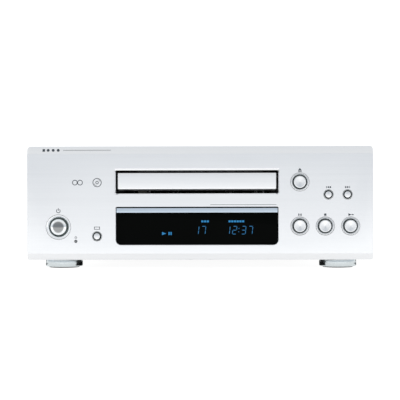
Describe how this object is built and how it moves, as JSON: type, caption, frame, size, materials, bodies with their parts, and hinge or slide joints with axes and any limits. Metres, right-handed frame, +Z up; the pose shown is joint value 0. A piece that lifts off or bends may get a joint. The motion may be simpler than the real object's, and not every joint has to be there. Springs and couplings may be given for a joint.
{
  "type": "compact disc player",
  "caption": "Component compact disc player with a brushed aluminium front, a motor-driven disc tray, a dark display window, round push buttons and turned feet.",
  "frame": {"origin": "middle of the player's footprint, on the plane its feet rest on", "axes": "+X to the player's right seen from the front, -Y the way the front faces, +Z up"},
  "size_m": [0.275, 0.286, 0.0978],
  "materials": {
    "front_aluminium": "satin anodised, fine horizontal brushing",
    "button_aluminium": "turned and satin anodised",
    "power_chrome": "polished chrome plating",
    "foot_aluminium": "turned, bright satin",
    "smoked_acrylic": "clear over black, polished",
    "display_glass": "dark glass tube with lit cyan segments",
    "case_paint": "fine silver-grey powder coat",
    "zinc_sheet": "bright zinc plate",
    "dark_abs": "fine moulded texture",
    "acetal": "natural white acetal",
    "circuit_board": "green solder mask",
    "steel": "bright steel",
    "winding": "varnished laminations and taped winding",
    "rubber": "matt black",
    "lens_glass": "coated plastic lens",
    "white_plastic": "glossy",
    "red_plastic": "glossy",
    "lamp_plastic": "smoked lens, unlit",
    "extruded_fins": "anodised extrusion",
    "capacitor_sleeve": "shrink sleeve"
  },
  "bodies": {
    "case": {"front_panel": "front_aluminium", "front_frame": "dark_abs", "display_window": "smoked_acrylic", "display_tube": "display_glass", "front_board": "circuit_board", "standby_lamp": "lamp_plastic", "loader_frame": "dark_abs", "loading_motor": "steel", "drive_belt": "rubber", "clamp_bridge": "zinc_sheet", "top_cover": "case_paint", "chassis_base": "zinc_sheet", "rear_panel": "case_paint", "output_jack_left": "white_plastic", "output_jack_right": "red_plastic", "optical_output": "dark_abs", "remote_jacks": "dark_abs", "mains_inlet": "dark_abs", "power_transformer": "winding", "main_board": "circuit_board", "heat_sink": "extruded_fins", "smoothing_capacitor_1": "capacitor_sleeve", "smoothing_capacitor_2": "capacitor_sleeve", "flat_cable": "white_plastic", "foot_front_left": "foot_aluminium", "foot_pad_front_left": "rubber", "foot_front_right": "foot_aluminium", "foot_pad_front_right": "rubber", "foot_rear_left": "foot_aluminium", "foot_pad_rear_left": "rubber", "foot_rear_right": "foot_aluminium", "foot_pad_rear_right": "rubber"},
    "disc_tray_body": {"disc_tray": "dark_abs", "tray_door": "front_aluminium"},
    "traverse": {"traverse_frame": "dark_abs", "guide_rod_left": "steel", "guide_rod_right": "steel", "spindle_motor": "steel", "sled_motor": "steel"},
    "turntable_body": {"turntable": "dark_abs"},
    "pickup": {"pickup_sled": "zinc_sheet"},
    "lens": {"objective_lens": "lens_glass"},
    "sled_gear_body": {"sled_gear": "acetal"},
    "sled_pinion_body": {"sled_pinion": "acetal"},
    "clamp": {"disc_clamp": "dark_abs"},
    "cam": {"cam_slider": "acetal"},
    "tray_gear_body": {"tray_gear": "acetal"},
    "pulley_gear_body": {"pulley_gear": "acetal"},
    "motor_pulley_body": {"motor_pulley": "acetal"},
    "power_key": {"power_button": "power_chrome"},
    "display_key": {"display_button": "button_aluminium"},
    "eject_key": {"eject_button": "button_aluminium"},
    "previous_key": {"previous_button": "button_aluminium"},
    "next_key": {"next_button": "button_aluminium"},
    "pause_key": {"pause_button": "button_aluminium"},
    "stop_key": {"stop_button": "button_aluminium"},
    "play_key": {"play_button": "button_aluminium"}
  },
  "joints": [
    {"name": "disc_tray_slide", "type": "slide", "parent": "case", "child": "disc_tray_body", "axis": [0, -1, 0], "range_m": [0, 0.133]},
    {"name": "traverse_lift", "type": "hinge", "parent": "case", "child": "traverse", "pos_m": [0, 0.046, 0.056], "axis": [-1, 0, 0], "range_deg": [0, 6]},
    {"name": "turntable_spin", "type": "hinge", "parent": "traverse", "child": "turntable_body", "pos_m": [-0.00215, -0.06837, 0.04398], "axis": [0, -0.1045, 0.9945], "continuous": true},
    {"name": "pickup_slide", "type": "slide", "parent": "traverse", "child": "pickup", "axis": [0, 0.9945, 0.1045], "range_m": [0, 0.034]},
    {"name": "lens_focus", "type": "slide", "parent": "pickup", "child": "lens", "axis": [0, -0.1045, 0.9945], "range_m": [-0.0006, 0.0006], "stiffness_N_per_m": 120},
    {"name": "sled_gear_turn", "type": "hinge", "parent": "traverse", "child": "sled_gear_body", "pos_m": [-0.03655, -0.01566, 0.04952], "axis": [0, -0.1045, 0.9945], "continuous": true},
    {"name": "sled_pinion_turn", "type": "hinge", "parent": "traverse", "child": "sled_pinion_body", "pos_m": [-0.03655, 0.00125, 0.0513], "axis": [0, -0.1045, 0.9945], "continuous": true},
    {"name": "clamp_spin", "type": "hinge", "parent": "case", "child": "clamp", "pos_m": [-0.00215, -0.069, 0.076], "axis": [0, 0, 1], "continuous": true},
    {"name": "cam_slide", "type": "slide", "parent": "case", "child": "cam", "axis": [1, 0, 0], "range_m": [-0.001, 0.025]},
    {"name": "tray_gear_turn", "type": "hinge", "parent": "case", "child": "tray_gear_body", "pos_m": [-0.04715, -0.11, 0.06], "axis": [0, 0, 1], "continuous": true},
    {"name": "pulley_gear_turn", "type": "hinge", "parent": "case", "child": "pulley_gear_body", "pos_m": [-0.02915, -0.11, 0.055], "axis": [0, 0, 1], "continuous": true},
    {"name": "motor_pulley_turn", "type": "hinge", "parent": "case", "child": "motor_pulley_body", "pos_m": [0.01285, -0.11, 0.052], "axis": [0, 0, 1], "continuous": true},
    {"name": "power_press", "type": "slide", "parent": "case", "child": "power_key", "axis": [0, 1, 0], "range_m": [0, 0.001], "stiffness_N_per_m": 400, "springref_m": -0.0008},
    {"name": "display_press", "type": "slide", "parent": "case", "child": "display_key", "axis": [0, 1, 0], "range_m": [0, 0.001], "stiffness_N_per_m": 400, "springref_m": -0.0008},
    {"name": "eject_press", "type": "slide", "parent": "case", "child": "eject_key", "axis": [0, 1, 0], "range_m": [0, 0.001], "stiffness_N_per_m": 400, "springref_m": -0.0008},
    {"name": "previous_press", "type": "slide", "parent": "case", "child": "previous_key", "axis": [0, 1, 0], "range_m": [0, 0.001], "stiffness_N_per_m": 400, "springref_m": -0.0008},
    {"name": "next_press", "type": "slide", "parent": "case", "child": "next_key", "axis": [0, 1, 0], "range_m": [0, 0.001], "stiffness_N_per_m": 400, "springref_m": -0.0008},
    {"name": "pause_press", "type": "slide", "parent": "case", "child": "pause_key", "axis": [0, 1, 0], "range_m": [0, 0.001], "stiffness_N_per_m": 400, "springref_m": -0.0008},
    {"name": "stop_press", "type": "slide", "parent": "case", "child": "stop_key", "axis": [0, 1, 0], "range_m": [0, 0.001], "stiffness_N_per_m": 400, "springref_m": -0.0008},
    {"name": "play_press", "type": "slide", "parent": "case", "child": "play_key", "axis": [0, 1, 0], "range_m": [0, 0.001], "stiffness_N_per_m": 400, "springref_m": -0.0008}
  ],
  "couplings": [
    {"joint": "tray_gear_turn", "follows": "disc_tray_slide", "rad_per_m": 100},
    {"joint": "pulley_gear_turn", "follows": "disc_tray_slide", "rad_per_m": -200},
    {"joint": "motor_pulley_turn", "follows": "disc_tray_slide", "rad_per_m": -575},
    {"joint": "cam_slide", "follows": "traverse_lift", "m_per_rad": 0.22918},
    {"joint": "clamp_spin", "follows": "turntable_spin", "ratio": 1},
    {"joint": "sled_gear_turn", "follows": "pickup_slide", "rad_per_m": 166.67},
    {"joint": "sled_pinion_turn", "follows": "pickup_slide", "rad_per_m": -400}
  ]
}
